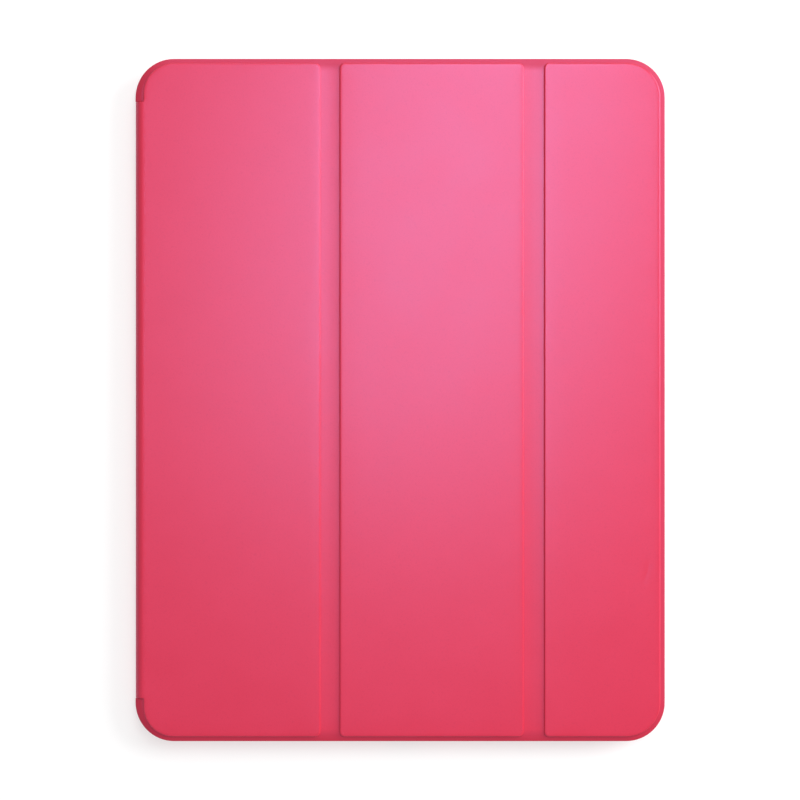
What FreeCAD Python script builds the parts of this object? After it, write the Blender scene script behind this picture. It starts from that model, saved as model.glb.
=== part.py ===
import FreeCAD, Part
import math
import os

# Tri-fold folio case for a large tablet, closed, lying on its back. Millimetres.
# +Z is up through the closed cover, +Y points to the top of the tablet, and the spine is at -X.
# The origin is at the middle of the case's outline, on the surface it lies on.

os.makedirs("parts", exist_ok=True)
Vec = FreeCAD.Vector

# The tablet that the case holds.
tablet_width = 214.9
tablet_height = 280.6
tablet_thickness = 6.4

# Fits and running clearances.
tablet_side_gap = 0.3
tablet_face_gap = 0.1
cover_gap = 0.2
spine_gap = 0.9
button_gap = 0.25
magnet_gap = 0.1
camera_ring_gap = 0.1
wrap_end_gap = 0.3

# Moulded tray.
tray_wall = 1.7
tray_base = 1.2
tray_corner_radius = 16.0
tray_lip_reach = 0.8
tray_lip_height = 0.6
tray_foot_fillet = 2.0
tray_foot_web = 0.4
tray_top_round = 0.4

# Camera opening, measured from the tablet's right and top edges to the opening's centre.
camera_opening = 36.0
camera_opening_radius = 9.0
camera_inset = 24.0
camera_ring_wall = 1.5
camera_ring_recess = 0.1

# Push covers over the tablet's buttons.
button_height = 3.2
button_proud = 0.25
button_setback = 0.2
button_edge_round = 0.3
power_button_length = 13.0
power_button_inset = 20.0
volume_button_length = 10.0
volume_button_pitch = 12.4
volume_button_inset = 33.0

# Openings in the tray's end walls.
port_width = 12.0
port_height = 4.8
speaker_slot_length = 9.0
speaker_slot_height = 2.0
speaker_slot_pitch = 12.0
speaker_slots_in_group = 3
speaker_group_offset = 62.0
microphone_hole_diameter = 1.6

# Sheet layers of the cover, spine and back.
skin_thickness = 0.6
board_thickness = 0.9
lining_thickness = 0.4

# Outline and panels of the cover.
cover_overhang_side = 0.3
cover_overhang_end = 0.7
cover_corner_radius = 16.2
flange_width = 2.0
face_corner_radius = 12.6
groove_corner_radius = 2.0
face_edge_round = 0.5
edge_round_limit = 0.9
panel_1_face_width = 73.9
groove_1_width = 8.3
panel_2_face_width = 76.9
groove_2_width = 8.8
outward_crease_inset = 2.6
stand_crease_inset = 1.5

# Rolled edges along the spine, outer radii, and the length of the flexible spine.
wrap_bottom_radius = 3.3
wrap_top_radius = 3.6
spine_end_inset = 18.0

# Back skin, measured in from the tray's outline.
back_skin_inset = 1.8

# Bar magnets and the square magnet that wakes the tablet.
bar_magnet_width = 5.0
bar_magnet_length = 20.0
bar_magnet_thickness = 0.8
bar_magnet_count = 4
bar_magnet_end_inset = 43.0
closure_magnet_inset = 6.5
stand_magnet_inset = 12.3
wake_magnet_size = 8.0
wake_magnet_setback = 1.5

# Levels through the thickness.
tray_z0 = skin_thickness
pocket_z0 = tray_z0 + tray_base
pocket_z1 = pocket_z0 + tablet_thickness + tablet_face_gap
tray_z1 = pocket_z1 + tray_lip_height
lining_z0 = tray_z1 + cover_gap
lining_z1 = lining_z0 + lining_thickness
board_z1 = lining_z1 + board_thickness
top_z = board_z1 + skin_thickness
flange_z1 = lining_z1 + skin_thickness
pocket_mid_z = (pocket_z0 + pocket_z1) / 2

# Places across the width and along the height.
pocket_width = tablet_width + 2 * tablet_side_gap
pocket_height = tablet_height + 2 * tablet_side_gap
tray_width = pocket_width + 2 * tray_wall
tray_height = pocket_height + 2 * tray_wall
spine_thickness = skin_thickness + board_thickness + lining_thickness
spine_reach = spine_gap + spine_thickness
cover_width = spine_reach + tray_width + cover_overhang_side
cover_height = tray_height + 2 * cover_overhang_end
cover_left = -cover_width / 2
cover_right = cover_width / 2
cover_top = cover_height / 2
tray_left = cover_left + spine_reach
tray_right = tray_left + tray_width
tray_mid_x = (tray_left + tray_right) / 2
tray_top = tray_height / 2
spine_half = cover_top - spine_end_inset
button_inner = button_setback - tray_wall

face_left = cover_left + wrap_top_radius
face_right = cover_right - flange_width
groove_1_left = face_left + panel_1_face_width
groove_1_right = groove_1_left + groove_1_width
groove_2_left = groove_1_right + panel_2_face_width
groove_2_right = groove_2_left + groove_2_width
outward_crease_1 = groove_1_left + outward_crease_inset
stand_crease_1 = groove_1_right - stand_crease_inset
outward_crease_2 = groove_2_left + outward_crease_inset
stand_crease_2 = groove_2_right - stand_crease_inset


# Lengths closer than this are the same.
same = 1e-6


def box(x0, x1, y0, y1, z0, z1):
    """A box between two corners."""
    return Part.makeBox(x1 - x0, y1 - y0, z1 - z0, Vec(x0, y0, z0))


def rounded_plate(x0, x1, y_half, z0, z1, radius_left, radius_right):
    """A plate from -y_half to y_half, with its two left and its two right corners rounded."""
    turn = math.sqrt(0.5)
    arcs = []
    left, right = radius_left, radius_right
    corners = (
        (Vec(x1 - right, y_half - right, z0), right, 1, 1),
        (Vec(x0 + left, y_half - left, z0), left, -1, 1),
        (Vec(x0 + left, left - y_half, z0), left, -1, -1),
        (Vec(x1 - right, right - y_half, z0), right, 1, -1),
    )
    ends = []
    for centre, radius, side_x, side_y in corners:
        on_side = centre + Vec(side_x * radius, 0, 0)
        middle = centre + Vec(side_x * radius * turn, side_y * radius * turn, 0)
        on_end = centre + Vec(0, side_y * radius, 0)
        start, stop = (on_side, on_end) if side_x * side_y > 0 else (on_end, on_side)
        arcs.append(Part.Arc(start, middle, stop).toShape())
        ends.append((start, stop))
    lines = []
    for index in range(len(ends)):
        stop = ends[index][1]
        start = ends[(index + 1) % len(ends)][0]
        lines.append(Part.LineSegment(stop, start).toShape())
    outline = Part.Wire([edge for pair in zip(arcs, lines) for edge in pair])
    return Part.Face(outline).extrude(Vec(0, 0, z1 - z0))


def flat_edges_at(shape, z):
    """The edges of a shape that lie at one level."""
    found = []
    for edge in shape.Edges:
        bounds = edge.BoundBox
        if abs(bounds.ZMin - z) < same and abs(bounds.ZMax - z) < same:
            found.append(edge)
    return found


def slot_through_y(x, z, length, height, y0, y1):
    """A round-ended slot, long in X, that runs through a wall along Y."""
    radius = height / 2
    shape = box(x - length / 2 + radius, x + length / 2 - radius, y0, y1, z - radius, z + radius)
    for side in (-1, 1):
        end = Vec(x + side * (length / 2 - radius), y0, z)
        shape = shape.fuse(Part.makeCylinder(radius, y1 - y0, end, Vec(0, 1, 0)))
    return shape


def slot_through_x(y, z, length, height, x0, x1):
    """A round-ended slot, long in Y, that runs through a wall along X."""
    radius = height / 2
    shape = box(x0, x1, y - length / 2 + radius, y + length / 2 - radius, z - radius, z + radius)
    for side in (-1, 1):
        end = Vec(x0, y + side * (length / 2 - radius), z)
        shape = shape.fuse(Part.makeCylinder(radius, x1 - x0, end, Vec(1, 0, 0)))
    return shape


def camera_hole(grow, z0, z1):
    """The square camera opening, grown all round by a margin."""
    half = camera_opening / 2 + grow
    radius = camera_opening_radius + grow
    centre_x = tray_mid_x + tablet_width / 2 - camera_inset
    centre_y = tablet_height / 2 - camera_inset
    hole = rounded_plate(centre_x - half, centre_x + half, half, z0, z1, radius, radius)
    hole.translate(Vec(0, centre_y, 0))
    return hole


def power_button_x():
    """The middle of the power button along the tray's top wall."""
    return tray_right - power_button_inset


def volume_button_places():
    """The middles of the volume buttons along the tray's right wall, upper one first."""
    upper = tray_top - volume_button_inset + volume_button_pitch / 2
    return upper, upper - volume_button_pitch


def wall_openings():
    """Every opening through the tray's four walls."""
    reach = 2 * tray_wall
    window_height = button_height + 2 * button_gap
    cuts = []
    length = power_button_length + 2 * button_gap
    y0, y1 = tray_top - reach, tray_top + reach
    cuts.append(slot_through_y(power_button_x(), pocket_mid_z, length, window_height, y0, y1))
    length = volume_button_length + 2 * button_gap
    for y in volume_button_places():
        cuts.append(slot_through_x(y, pocket_mid_z, length, window_height,
                                   tray_right - reach, tray_right + reach))
    cuts.append(slot_through_y(tray_mid_x, pocket_mid_z, port_width, port_height, -y1, -y0))
    for end in (-1, 1):
        low, high = min(end * y0, end * y1), max(end * y0, end * y1)
        for side in (-1, 1):
            for index in range(speaker_slots_in_group):
                step = index - (speaker_slots_in_group - 1) / 2
                x = tray_mid_x + side * speaker_group_offset + step * speaker_slot_pitch
                cuts.append(slot_through_y(x, pocket_mid_z, speaker_slot_length,
                                           speaker_slot_height, low, high))
    centre = Vec(tray_mid_x, y0, pocket_mid_z)
    cuts.append(Part.makeCylinder(microphone_hole_diameter / 2, y1 - y0, centre, Vec(0, 1, 0)))
    return cuts


def tray_shell():
    """The moulded tray: base, walls, retaining lip, camera ring and wall openings."""
    radius = tray_corner_radius
    shell = rounded_plate(tray_left, tray_right, tray_top, tray_z0, tray_z1, radius, radius)
    foot = min(tray_foot_fillet, tray_wall + tray_base - tray_foot_web)
    shell = shell.makeFillet(foot, flat_edges_at(shell, tray_z0))
    shell = shell.makeFillet(tray_top_round, flat_edges_at(shell, tray_z1))
    pocket_radius = tray_corner_radius - tray_wall
    shell = shell.cut(rounded_plate(tray_left + tray_wall, tray_right - tray_wall,
                                    tray_top - tray_wall, pocket_z0, pocket_z1,
                                    pocket_radius, pocket_radius))
    lip_inset = tray_wall + tray_lip_reach
    lip_radius = tray_corner_radius - lip_inset
    shell = shell.cut(rounded_plate(tray_left + lip_inset, tray_right - lip_inset,
                                    tray_top - lip_inset, pocket_z1, tray_z1,
                                    lip_radius, lip_radius))
    ring = camera_hole(camera_ring_wall, camera_ring_recess, pocket_z0)
    shell = shell.fuse(ring).cut(camera_hole(0, 0, pocket_z1))
    for opening in wall_openings():
        shell = shell.cut(opening)
    return shell.removeSplitter()


def back_skin():
    """The skin under the tray, with a tongue that runs out to the rolled edge of the spine."""
    inset = back_skin_inset
    radius = tray_corner_radius - inset
    sheet = rounded_plate(tray_left + inset, tray_right - inset, tray_top - inset,
                          0, skin_thickness, radius, radius)
    tongue = box(cover_left + wrap_bottom_radius, tray_left + radius, -spine_half, spine_half,
                 0, skin_thickness)
    hole = camera_hole(camera_ring_wall + camera_ring_gap, 0, skin_thickness)
    return sheet.fuse(tongue).cut(hole).removeSplitter()


def rolled_edge(radius_out, thickness, centre_z, upper):
    """A quarter of a tube along the spine, turning from upright to flat."""
    centre_x = cover_left + (wrap_top_radius if upper else wrap_bottom_radius)
    outer = Part.makeCylinder(radius_out, 2 * spine_half, Vec(centre_x, -spine_half, centre_z),
                              Vec(0, 1, 0))
    inner = Part.makeCylinder(radius_out - thickness, 2 * spine_half,
                              Vec(centre_x, -spine_half, centre_z), Vec(0, 1, 0))
    z0 = centre_z if upper else centre_z - radius_out
    quarter = box(centre_x - radius_out, centre_x, -spine_half, spine_half, z0, z0 + radius_out)
    return outer.cut(inner).common(quarter)


def spine_layers():
    """The skin, board and lining of the flat part of the spine, between its rolled edges."""
    z0 = wrap_bottom_radius
    z1 = top_z - wrap_top_radius
    layers = {}
    x = cover_left
    for name, thickness in (("skin", skin_thickness), ("board", board_thickness),
                            ("lining", lining_thickness)):
        layers["spine_" + name] = box(x, x + thickness, -spine_half, spine_half, z0, z1)
        x += thickness
    return layers


def cover_plate(x0, x1, z0, z1):
    """A slice of the cover's whole outline, open beside the rolled edge of the spine."""
    radius = cover_corner_radius
    plate = rounded_plate(cover_left, cover_right, cover_top, z0, z1, radius, radius)
    slot_half = spine_half + wrap_end_gap
    slot = box(cover_left, face_left, -slot_half, slot_half, z0, z1)
    return plate.cut(slot).common(box(x0, x1, -cover_top, cover_top, z0, z1))


def face_block(x0, x1, inset, z1):
    """One panel's raised block above the lining, its corners rounded where the cover's are."""
    left = face_corner_radius if x0 < face_left + same else groove_corner_radius
    right = cover_corner_radius - flange_width if x1 > face_right - same else groove_corner_radius
    return rounded_plate(x0 + inset, x1 - inset, cover_top - flange_width - inset,
                         lining_z1, z1, left - inset, right - inset)


def panel_board(face_x0, face_x1):
    """The stiffening board of one panel, in the pocket under the raised skin."""
    return face_block(face_x0, face_x1, skin_thickness, board_z1)


def panel_layers(number, x0, x1, face_x0, face_x1):
    """The skin, board and lining of one panel, with its share of the thin floor beside it."""
    raised = face_block(face_x0, face_x1, 0, top_z)
    edge_round = min(face_edge_round, edge_round_limit * skin_thickness)
    raised = raised.makeFillet(edge_round, flat_edges_at(raised, top_z))
    board = panel_board(face_x0, face_x1)
    floor = cover_plate(x0, x1, lining_z1, flange_z1)
    skin = floor.fuse(raised).cut(board).removeSplitter()
    name = "panel_%d_" % number
    return {name + "skin": skin, name + "board": board,
            name + "lining": cover_plate(x0, x1, lining_z0, lining_z1)}


def fold_strip(number, x0, x1):
    """The thin floor of one groove between its two creases."""
    name = "fold_strip_%d_" % number
    return {name + "skin": cover_plate(x0, x1, lining_z1, flange_z1),
            name + "lining": cover_plate(x0, x1, lining_z0, lining_z1)}


def bar_magnet_places():
    """The middles of the bar magnets along Y, evenly spaced between the ends of the cover."""
    last = cover_top - bar_magnet_end_inset
    step = 2 * last / (bar_magnet_count - 1)
    return [index * step - last for index in range(bar_magnet_count)]


def magnet_solids(x, width, length, places, grow, z1):
    """Flat magnets, or the pockets for them, in one row along Y."""
    solids = []
    for y in places:
        solids.append(box(x - width / 2 - grow, x + width / 2 + grow,
                          y - length / 2 - grow, y + length / 2 + grow, lining_z1, z1))
    return solids


def add_magnets(nodes, node, board, x, width, length, places):
    """Cuts pockets through a board and adds the magnets that lie in them as one node."""
    for pocket in magnet_solids(x, width, length, places, magnet_gap, board_z1):
        nodes[board] = nodes[board].cut(pocket)
    z1 = lining_z1 + min(bar_magnet_thickness, board_thickness)
    nodes[node] = Part.makeCompound(magnet_solids(x, width, length, places, 0, z1))


def button_cover(length, along_y):
    """A round-ended push cover at the origin, its outer face towards +Y, or +X if along_y."""
    make = slot_through_x if along_y else slot_through_y
    pad = make(0, 0, length, button_height, button_inner, button_proud)
    pad = pad.removeSplitter()
    rims = []
    for edge in pad.Edges:
        bounds = edge.BoundBox
        low, high = (bounds.XMin, bounds.XMax) if along_y else (bounds.YMin, bounds.YMax)
        if abs(low - button_proud) < same and abs(high - button_proud) < same:
            rims.append(edge)
    return pad.makeFillet(button_edge_round, rims)


def button_covers():
    """The power button's cover in the top wall and the two volume covers in the right wall."""
    covers = {"power_button_cover": button_cover(power_button_length, False)}
    covers["power_button_cover"].translate(Vec(power_button_x(), tray_top, pocket_mid_z))
    for name, y in zip(("volume_up_cover", "volume_down_cover"), volume_button_places()):
        covers[name] = button_cover(volume_button_length, True)
        covers[name].translate(Vec(tray_right, y, pocket_mid_z))
    return covers


def build():
    """Every node of the case, by name."""
    nodes = {"tray_shell": tray_shell(), "back_skin": back_skin()}
    inner_bottom = wrap_bottom_radius - skin_thickness
    inner_top = wrap_top_radius - skin_thickness
    bottom_z = wrap_bottom_radius
    top_centre_z = top_z - wrap_top_radius
    nodes["spine_edge_bottom_skin"] = rolled_edge(wrap_bottom_radius, skin_thickness,
                                                  bottom_z, False)
    nodes["spine_edge_bottom_lining"] = rolled_edge(inner_bottom, lining_thickness,
                                                    bottom_z, False)
    nodes["spine_edge_top_skin"] = rolled_edge(wrap_top_radius, skin_thickness,
                                               top_centre_z, True)
    nodes["spine_edge_top_lining"] = rolled_edge(inner_top, lining_thickness,
                                                 top_centre_z, True)
    nodes.update(spine_layers())
    nodes.update(panel_layers(1, cover_left, outward_crease_1, face_left, groove_1_left))
    nodes.update(fold_strip(1, outward_crease_1, stand_crease_1))
    nodes.update(panel_layers(2, stand_crease_1, outward_crease_2, groove_1_right, groove_2_left))
    nodes.update(fold_strip(2, outward_crease_2, stand_crease_2))
    nodes.update(panel_layers(3, stand_crease_2, cover_right, groove_2_right, face_right))
    bars = bar_magnet_places()
    closure_x = cover_right - closure_magnet_inset
    add_magnets(nodes, "stand_magnets", "panel_1_board", face_left + stand_magnet_inset,
                bar_magnet_width, bar_magnet_length, bars)
    add_magnets(nodes, "closure_magnets", "panel_3_board", closure_x,
                bar_magnet_width, bar_magnet_length, bars)
    add_magnets(nodes, "wake_magnet", "panel_3_board", closure_x - wake_magnet_setback,
                wake_magnet_size, wake_magnet_size, [(bars[-2] + bars[-1]) / 2])
    nodes.update(button_covers())
    return nodes


for node_name, shape in build().items():
    shape.exportStep("parts/%s.step" % node_name)
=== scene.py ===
import math

import bmesh
import bpy
import numpy as np
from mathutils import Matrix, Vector, noise
from mathutils.geometry import delaunay_2d_cdt
from mathutils.kdtree import KDTree


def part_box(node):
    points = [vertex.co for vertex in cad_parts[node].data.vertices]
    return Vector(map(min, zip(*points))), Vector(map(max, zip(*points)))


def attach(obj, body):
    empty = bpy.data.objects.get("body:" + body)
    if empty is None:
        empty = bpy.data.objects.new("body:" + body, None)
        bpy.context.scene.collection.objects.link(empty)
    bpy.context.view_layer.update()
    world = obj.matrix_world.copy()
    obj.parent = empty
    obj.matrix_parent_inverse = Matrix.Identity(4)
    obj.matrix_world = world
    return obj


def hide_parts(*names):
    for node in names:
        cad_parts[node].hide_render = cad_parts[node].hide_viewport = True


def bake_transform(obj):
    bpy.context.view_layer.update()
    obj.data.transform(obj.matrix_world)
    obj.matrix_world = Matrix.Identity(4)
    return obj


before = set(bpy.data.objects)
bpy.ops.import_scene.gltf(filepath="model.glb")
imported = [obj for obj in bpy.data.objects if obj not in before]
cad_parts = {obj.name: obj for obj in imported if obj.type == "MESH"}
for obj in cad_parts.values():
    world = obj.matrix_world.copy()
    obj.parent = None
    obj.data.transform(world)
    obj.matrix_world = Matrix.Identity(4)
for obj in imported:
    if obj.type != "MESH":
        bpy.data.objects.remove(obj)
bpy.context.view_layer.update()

# A closed folio case for a large tablet: back shell, spine and a cover in three panels.
# Lengths are millimetres until a mesh is finished. A sheet is drawn in its flat pattern, as u across
# the case, y along it and depth below its outer surface, and a place function bends it into shape.
MM = 0.001


def cad(node, side, axis):
    """One coordinate of a CAD node's box. side is 0 for the lowest and 1 for the highest."""
    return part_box(node)[side]["xyz".index(axis)] / MM


# Levels and places, from the frame.
TOP_Z = cad("panel_2_skin", 1, "z")
FLOOR_Z = cad("fold_strip_1_skin", 1, "z")
SKIN_Z0 = cad("fold_strip_1_skin", 0, "z")
LINING_Z0 = cad("fold_strip_1_lining", 0, "z")
BACK_Z1 = cad("back_skin", 1, "z")
COVER_LEFT = cad("panel_1_skin", 0, "x")
COVER_RIGHT = cad("panel_3_skin", 1, "x")
COVER_TOP = cad("panel_2_skin", 1, "y")
SPINE_TOP = cad("spine_skin", 1, "y")
SPINE_Z0 = cad("spine_skin", 0, "z")
SPINE_Z1 = cad("spine_skin", 1, "z")
SPINE_LEFT = cad("spine_skin", 0, "x")
LINING_OUTER_X = cad("spine_lining", 0, "x")
LINING_INNER_X = cad("spine_lining", 1, "x")
TOP_ROLL_X = cad("spine_edge_top_skin", 1, "x")
BOTTOM_ROLL_X = cad("spine_edge_bottom_skin", 1, "x")
BACK_RIGHT = cad("back_skin", 1, "x")
BACK_LEFT = cad("tray_shell", 0, "x") + cad("tray_shell", 1, "x") - BACK_RIGHT
BACK_TOP = cad("back_skin", 1, "y")
SKIN = FLOOR_Z - SKIN_Z0
LINING = SKIN_Z0 - LINING_Z0
TOP_ROLL = TOP_Z - SPINE_Z1
BOTTOM_ROLL = SPINE_Z0
SPINE_MIDDLE = (SPINE_Z0 + SPINE_Z1) / 2


def face_sides(number):
    """Left and right edge of a panel's raised face: its board and the skin on each side."""
    board = "panel_%d_board" % number
    return cad(board, 0, "x") - SKIN, cad(board, 1, "x") + SKIN


# Corners and the flange, seen from above.
COVER_CORNER = 16.2
FLANGE = 2.0
FACE_CORNER_SPINE = 12.6
FACE_CORNER_GROOVE = 2.0
FACE_CORNER_CLOSING = COVER_CORNER - FLANGE
BACK_CORNER = 14.2

# A raised face's edge: the tuck around its board, its foot, its round and its slight crown.
FACE_TUCK = 0.05
FACE_SINK = 0.1
FACE_FOOT = 0.3
FACE_ROUND = 0.5
FACE_FALL = 0.04
FACE_SHOULDER = 1.0
FACE_CROWN = 1.5

# Relief of the surfaces. It fades out over SURFACE_DEPTH below a sheet's outer surface.
SURFACE_DEPTH = 0.5
FACE_RIPPLE = 0.03
RIPPLE_ACROSS = 50.0
RIPPLE_ALONG = 65.0
GROOVE_DIP = 0.09
FLANGE_FALL = 0.36
CORNER_CURL = 1.0
CURL_NARROWING = 0.45

# Thin edges, and the gaps and seams between sheets.
RIM_ROUND = 0.28
LINING_ROUND = 0.12
LINING_LEVELS = 8
RING_MARGIN = 0.1
SLOT_RING_MARGIN = 0.02
SLOT_GAP = 0.03
WINDOW_GAP = 0.15
SEAM_INSET = 0.4

# Half the width of the band that bends at a crease.
BEND_HALF = 1.1

# How finely the meshes are divided.
BEND_STEP = 0.2
CURL_STEP = 0.45
CURL_TURN = 0.07
ROLL_STEP = 0.35
GROOVE_STEP = 0.8
SIDE_STEP = 12.0
FILL_STEP = 6.0
CORNER_STEPS = 16
FOOT_STEPS = 4
ROUND_STEPS = 8
EDGE_LEVELS = 20

# A filling point stays this share of the spacing away from all others, and an extra point less.
FILL_CLEARANCE = 0.4
EXTRA_CLEARANCE = 0.02
SAME_PLACE = 3e-4
WELD_DISTANCE = 1e-5
SHARP_ANGLE = 40


# ---------------------------------------------------------------- edge sections

def thin_edge(thickness, radius, levels=EDGE_LEVELS):
    """Section of a thin sheet's edge, as (inset, depth) from the underside to the outer surface."""
    half = levels // 2
    section = []
    for step in range(half):
        angle = math.pi / 2 * step / (half - 1)
        section.append((radius * (1 - math.sin(angle)), thickness - radius * (1 - math.cos(angle))))
    for step in range(levels - half):
        angle = math.pi / 2 * step / (levels - half - 1)
        section.append((radius * (1 - math.cos(angle)), radius * (1 - math.sin(angle))))
    return section


def raised_edge():
    """Section of a raised face's edge: rim around the board, foot fillet, wall, round and crown."""
    drop = TOP_Z - FLOOR_Z
    low = drop + FACE_SINK
    section = [(SKIN + FACE_TUCK, SKIN), (SKIN, SKIN + FACE_TUCK), (SKIN, low), (-FACE_FOOT, low)]
    for step in range(FOOT_STEPS + 1):
        angle = math.radians(90 * step / FOOT_STEPS - 90)
        section.append((FACE_FOOT * (math.cos(angle) - 1), drop - FACE_FOOT * (1 + math.sin(angle))))
    for step in range(ROUND_STEPS + 1):
        angle = math.radians(90 * step / ROUND_STEPS)
        section.append((FACE_ROUND * (1 - math.cos(angle)),
                        FACE_FALL + FACE_ROUND * (1 - math.sin(angle))))
    section += [(FACE_SHOULDER, FACE_FALL / 3), (FACE_CROWN, 0.0)]
    return section


def flange_edge(inner):
    """Section of the flange's rim, with one more ring where the flange starts to fall."""
    return thin_edge(SKIN, RIM_ROUND) + [(inner, 0.0)]


def cut_edge(thickness):
    """Section of a plain cut."""
    return [(0.0, thickness), (0.0, 0.0)]


class Outline:
    """A closed boundary of the flat pattern: stops with a place, an outward direction and a section."""

    def __init__(self):
        self.stops = []

    def corner(self, u, y, outward, edge):
        """A sharp corner."""
        self.stops.append((Vector((u, y)), Vector(outward), edge))

    def turn(self, u, y, radius, start, end, edge, hole=False):
        """A round corner about (u, y), between two angles in degrees."""
        for step in range(CORNER_STEPS + 1):
            angle = math.radians(start + (end - start) * step / CORNER_STEPS)
            ray = Vector((math.cos(angle), math.sin(angle)))
            self.stops.append((Vector((u, y)) + ray * radius, -ray if hole else ray, edge))

    def side(self, u, y, outward, edge, keep=()):
        """Stops between the last one and (u, y), at even steps and wherever keep gives a u."""
        start, finish = self.stops[-1][0], Vector((u, y))
        length = (finish - start).length
        shares = [abs(place - start.x) / length for place in keep
                  if min(start.x, u) + 1e-4 < place < max(start.x, u) - 1e-4]
        count = max(1, round(length / SIDE_STEP))
        for step in range(1, count):
            share = step / count
            if all(abs(share - other) * length > BEND_STEP for other in shares):
                shares.append(share)
        for share in sorted(shares):
            self.stops.append((start.lerp(finish, share), Vector(outward), edge))

    def mirror(self, left_edge, right_edge, left_outward=(0, 0), right_outward=(0, 0)):
        """Adds the lower half as a mirror of the upper, and closes it with a straight side at the
        left and one at the right. A side with no outward direction is a seam."""
        lower = [(Vector((place.x, -place.y)), Vector((outward.x, -outward.y)), edge)
                 for place, outward, edge in reversed(self.stops)]
        first = self.stops[0][0]
        self.side(*lower[0][0], left_outward, left_edge)
        self.stops += lower
        self.side(*first, right_outward, right_edge)


def plate(u0, u1, y_half, left, right, edge, keep=()):
    """A plate's outline, anticlockwise. left and right are corner radii, or None for a seam side,
    whose stops never move across the seam. A u in keep gets a stop on both long sides."""
    outline = Outline()
    if right is None:
        outline.corner(u1, y_half, (0, 1), edge)
    else:
        outline.turn(u1 - right, y_half - right, right, 0, 90, edge)
    outline.side(u0 + (left or 0), y_half, (0, 1), edge, keep)
    if left is None:
        outline.corner(u0, y_half, (0, 1), edge)
    else:
        outline.turn(u0 + left, y_half - left, left, 90, 180, edge)
    outline.mirror(edge, edge, left_outward=(0, 0) if left is None else (-1, 0),
                   right_outward=(0, 0) if right is None else (1, 0))
    return outline


def spine_side_plate(right_u, edge, slot_edge, keep):
    """Outline of panel 1's thin sheet: round outer corners, and a slot where the spine rolls past."""
    slot_y = SPINE_TOP + SLOT_GAP
    ring = COVER_CORNER
    curl = steps(COVER_LEFT, TOP_ROLL_X, CURL_STEP)[1:-1]
    outline = Outline()
    outline.corner(right_u, COVER_TOP, (0, 1), edge)
    outline.side(COVER_LEFT + ring, COVER_TOP, (0, 1), edge, keep)
    outline.turn(COVER_LEFT + ring, COVER_TOP - ring, ring, 90, 180, edge)
    outline.corner(COVER_LEFT, slot_y, (-1, -1), slot_edge)
    outline.side(TOP_ROLL_X, slot_y, (0, -1), slot_edge, curl)
    outline.corner(TOP_ROLL_X, slot_y, (-1, -1), slot_edge)
    outline.mirror(slot_edge, edge, left_outward=(-1, 0))
    return outline


# ---------------------------------------------------------------- sheets

def inside(polygon, points):
    """Which of the points lie in a polygon."""
    found = np.zeros(len(points), bool)
    for a, b in zip(polygon, np.roll(polygon, -1, axis=0)):
        if a[1] == b[1]:
            continue
        spans = (a[1] > points[:, 1]) != (b[1] > points[:, 1])
        crossing = (b[0] - a[0]) * (points[:, 1] - a[1]) / (b[1] - a[1]) + a[0]
        found ^= spans & (points[:, 0] < crossing)
    return found


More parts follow.
